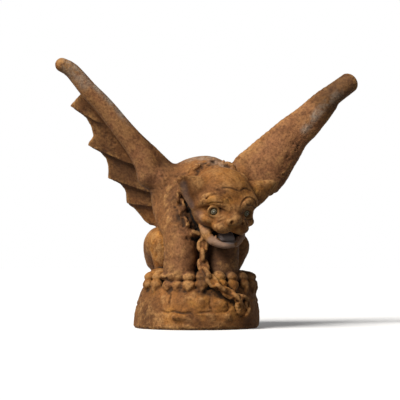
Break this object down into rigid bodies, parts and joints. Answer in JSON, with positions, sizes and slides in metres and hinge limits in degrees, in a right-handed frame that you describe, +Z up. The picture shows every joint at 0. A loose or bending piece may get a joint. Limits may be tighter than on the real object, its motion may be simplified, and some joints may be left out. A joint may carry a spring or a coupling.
{
  "type": "stone gargoyle",
  "caption": "Cast-stone garden gargoyle: a winged dog-headed beast, chained by the neck, crouching on a rough round rock plinth with its bat wings raised.",
  "frame": {"origin": "centre of the round plinth's flat underside", "axes": "+Z up, the beast faces -Y, +X is the beast's own left and the direction of the wing span"},
  "size_m": [0.5171, 0.247, 0.4407],
  "materials": {
    "stone": "weathered rust-brown cast stone, rough and matt"
  },
  "bodies": {
    "root": {"gargoyle": "stone"}
  },
  "joints": []
}
